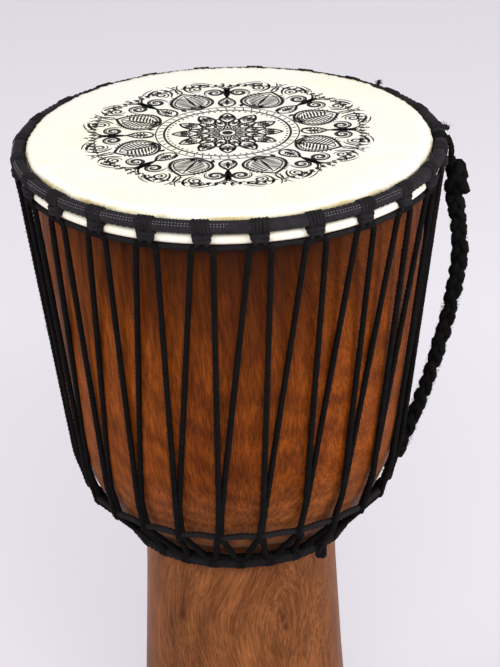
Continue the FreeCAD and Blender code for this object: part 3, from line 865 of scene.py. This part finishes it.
def carrying_strap():
    """A plait of three soft strands along the strap's route, thinning towards its lower end."""
    line = smooth_line([Vector(p) * MM for p in STRAP_ROUTE], resolution=24)
    points, length = evenly(line, 1.1 * MM)
    _, normals, binormals = frames_along(points, first=(1, 0, 0))
    share = np.linspace(0, 1, len(points))
    size = 1.17 - 0.30 * share + 0.05 * np.sin(share * 23 + 1.3)
    skin = Skin()
    for k in range(3):
        phase = share * length / (PLAIT * MM) * math.tau + k * math.tau / 3
        phase += 0.8 * np.array([noise.noise(Vector(p) * 28 + Vector((k * 9.0, 0, 0))) for p in points])
        lump = 1 + 0.26 * np.array([noise.noise(Vector(p) * 95 + Vector((0, k * 5.0, 0))) for p in points])
        across = 3.1 * MM * size * np.sin(phase)
        through = 1.9 * MM * size * np.sin(2 * phase)
        strand = points + normals * across[:, None] + binormals * through[:, None]
        soft_strand(skin, strand, 3.3 * MM * size * lump, 0.95, seed=k * 7.0)
    fibres(skin, points, 5.8 * MM, 2200, 2.6 * MM)
    piece = skin.build("strap_plait", STRAP, "carrying_strap")
    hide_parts("strap")
    return piece, line


def knot_line(centre, axis, size, height, lobes=3, winds=2, count=220, depth=0.38):
    """A closed knot wound over an egg: lobes up and down while it goes round."""
    axis = Vector(axis).normalized()
    turn = Vector((0, 0, 1)).rotation_difference(axis).to_matrix()
    points = []
    for i in range(count):
        t = i / count * math.tau
        r = size * (1 - depth + depth * math.cos(lobes * t))
        p = Vector((r * math.cos(winds * t), r * math.sin(winds * t), height * math.sin(lobes * t)))
        points.append(Vector(centre) * MM + turn @ (p * MM))
    return np.array(points)


def strap_knots():
    """The overhand knot under the crown ring with its cut end, and the small knot at the weave rope."""
    skin = Skin()
    soft_strand(skin, evenly(knot_line((171.5, 0, 562.2), (0.1, 0, 1), 5.7, 9.8), 1.0 * MM, True)[0],
                3.8 * MM, 0.95, 2.0, closed=True)
    neck = [(170.6, 0, 546.5), (170.8, 0.4, 556.0), (169.6, -0.4, 568.0), (168.6, 0, 573.0), (168.8, 0, 578.5)]
    neck = evenly(smooth_line([Vector(p) * MM for p in neck], resolution=16), 1.0 * MM)[0]
    soft_strand(skin, neck, np.linspace(5.2, 3.4, len(neck)) * MM, 0.9, 5.0)
    end = [(169.0, -3.0, 566.0), (174.0, -5.5, 562.0), (177.6, -5.0, 556.5), (178.6, -4.4, 551.5)]
    end = evenly(smooth_line([Vector(p) * MM for p in end], resolution=16), 1.0 * MM)[0]
    soft_strand(skin, end, 4.2 * MM, 0.95, 9.0)
    fibres(skin, neck[:14], 7.5 * MM, 120, 2.2 * MM)
    top = skin.build("strap_knot_top", STRAP, "carrying_strap")
    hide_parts("strap_top_knot")
    skin = Skin()
    soft_strand(skin, evenly(knot_line((126.9, 0, 332.2), (0.45, 0, 0.9), 3.6, 3.8), 0.8 * MM, True)[0],
                2.5 * MM, 0.9, 4.0, closed=True)
    low = skin.build("strap_knot_low", STRAP, "carrying_strap")
    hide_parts("strap_lower_knot")
    return top, low


def strap_ties():
    """Cord that ties the strap's knots to the crown ring and to the weave rope."""
    skin = Skin()
    for aside in (-3.9, 0.0, 3.9):
        ring_turn(skin, 90.0, aside, CROWN_R, CROWN_Z, 2.0, 0.6)
    # down from the ring, under the knot's neck and up again
    loop = smooth_line([at_hitch(90, CROWN_R + out, CROWN_Z + up, aside) for out, up, aside in (
        (5.5, 2, -2.2), (8.6, -4, -2.2), (8.6, -10.5, -1.8), (8.2, -12.8, 0), (8.6, -10.5, 1.8),
        (8.6, -4, 2.2), (5.5, 2, 2.2))])
    laid_rope(skin, loop, 2.4 * MM)
    piece = skin.build("strap_tie_top", ROPE, "drum")
    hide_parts("strap_top_tie")
    skin = Skin()
    for aside in (-2.9, 0.0, 2.9):
        ring_turn(skin, 90.0, aside, WEAVE_R, WEAVE_Z, 1.5, half_thick=1.2, reach=3.3, count=24)
    link = smooth_line([at_hitch(90, WEAVE_R + out, WEAVE_Z + up)
                        for out, up in ((2.0, 2.6), (3.4, 4.4), (4.4, 6.4))])
    laid_rope(skin, link, 1.9 * MM)
    piece = skin.build("strap_tie_low", ROPE, "drum")
    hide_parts("strap_lower_tie")


def tail_knot():
    """The stopper knot in the tension rope's end."""
    skin = Skin()
    middle = polar(TAIL_AZ, TAIL_END_R - 0.6, TAIL_END_Z - 5.5) / MM
    line = evenly(knot_line(middle, (0, 0, 1), 3.0, 4.2), 0.7 * MM, True)[0]
    soft_strand(skin, line, 2.0 * MM, 0.95, 6.0, closed=True)
    piece = skin.build("tail_stopper_knot", ROPE, "drum")
    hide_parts("tail_knot")


# ---- stage ---------------------------------------------------------------------------
LENS, SENSOR = 182.2, 36
CAMERA_PLACE = (11.84, -2388.18, 1523.63)
CAMERA_PITCH, CAMERA_ROLL = 24.492, -1.6       # degrees; the pitch is downwards
FLOOR_REACH = 14.0                             # metres


def camera():
    """At the photograph's viewing angle: from the front, above the head, with a long lens."""
    pitch, roll = math.radians(CAMERA_PITCH), math.radians(CAMERA_ROLL)
    ahead = Vector((0, math.cos(pitch), -math.sin(pitch)))
    right = Vector((1, 0, 0))
    up = right.cross(ahead)
    across = right * math.cos(roll) + up * math.sin(roll)
    above = up * math.cos(roll) - right * math.sin(roll)
    data = bpy.data.cameras.new("camera")
    data.lens = LENS
    data.sensor_width = SENSOR
    lens = bpy.data.objects.new("camera", data)
    turn = Matrix((across, above, -ahead)).transposed().to_4x4()
    lens.matrix_world = Matrix.Translation(Vector(CAMERA_PLACE) * MM) @ turn
    bpy.context.scene.collection.objects.link(lens)
    bpy.context.scene.camera = lens


def softbox(name, place, target, size, power, colour=(1, 1, 1)):
    """A rectangular light that faces a target; metres and watts."""
    data = bpy.data.lights.new(name, "AREA")
    data.shape = "RECTANGLE"
    data.size, data.size_y = size
    data.energy = power
    data.color = colour
    light = bpy.data.objects.new(name, data)
    light.location = place
    light.rotation_euler = (Vector(target) - Vector(place)).to_track_quat("-Z", "Y").to_euler()
    bpy.context.scene.collection.objects.link(light)


def studio():
    """A pale floor with painted light, darker in front and paler behind the drum, under soft light from above,
    the front, the left and the right.
    """
    mesh = bpy.data.meshes.new("floor")
    corners = ((-1, -1), (1, -1), (1, 1), (-1, 1))
    mesh.from_pydata([(x * FLOOR_REACH, y * FLOOR_REACH, 0) for x, y in corners], [], [(0, 1, 2, 3)])
    floor = bpy.data.objects.new("floor", mesh)
    bpy.context.scene.collection.objects.link(floor)
    n = Nodes("pale_floor")
    y = n.new("ShaderNodeSeparateXYZ", {0: n.place()}).outputs[1]
    # painted light: the floor's colour grows paler from 0.2 m to 1 m behind the drum
    away = n.fade(y, 0.2, 1.0)
    n.shade("Base Color", n.mix(away, (0.69, 0.660, 0.705), (0.83, 0.805, 0.85)))
    n.shade("Roughness", 0.9)
    mesh.materials.append(n.material)
    world = bpy.data.worlds.new("studio")
    world.use_nodes = True
    background = world.node_tree.nodes["Background"]
    background.inputs["Color"].default_value = (0.95, 0.93, 0.97, 1)
    background.inputs["Strength"].default_value = 0.67
    bpy.context.scene.world = world
    softbox("top", (-0.3, 0.6, 2.9), (0, 0, 0.45), (2.4, 2.0), 7)
    softbox("front", (0.25, -2.6, 2.15), (0, 0, 0.45), (1.6, 1.2), 50, (1.0, 0.985, 0.96))
    softbox("left", (-2.6, -1.0, 1.3), (0, 0, 0.35), (1.2, 2.0), 33)
    softbox("right", (2.6, -1.0, 1.2), (0, 0, 0.35), (1.2, 2.0), 54)
    bpy.context.scene.view_settings.view_transform = "Standard"


# ---- the drum ------------------------------------------------------------------------
camera()
studio()
plait, strap_line = carrying_strap()
knots = strap_knots()
for node, material in (("shell", WOOD), ("drumhead_skin", HIDE), ("flesh_hoop", STEEL), ("crown_ring", STEEL),
                       ("lower_ring", STEEL)):
    finish_node(node, material)
collar_edge()
rosette()
ring_braid("crown_ring_braid", "crown_ring_cover", CROWN_R, CROWN_Z, BRAID, flecked=True)
ring_braid("lower_ring_braid", "lower_ring_cover", LOWER_R, LOWER_Z, NECK_BRAID, flecked=False)
tension_rope()
cradle_and_weave()
lower_cradle()
strap_ties()
tail_knot()
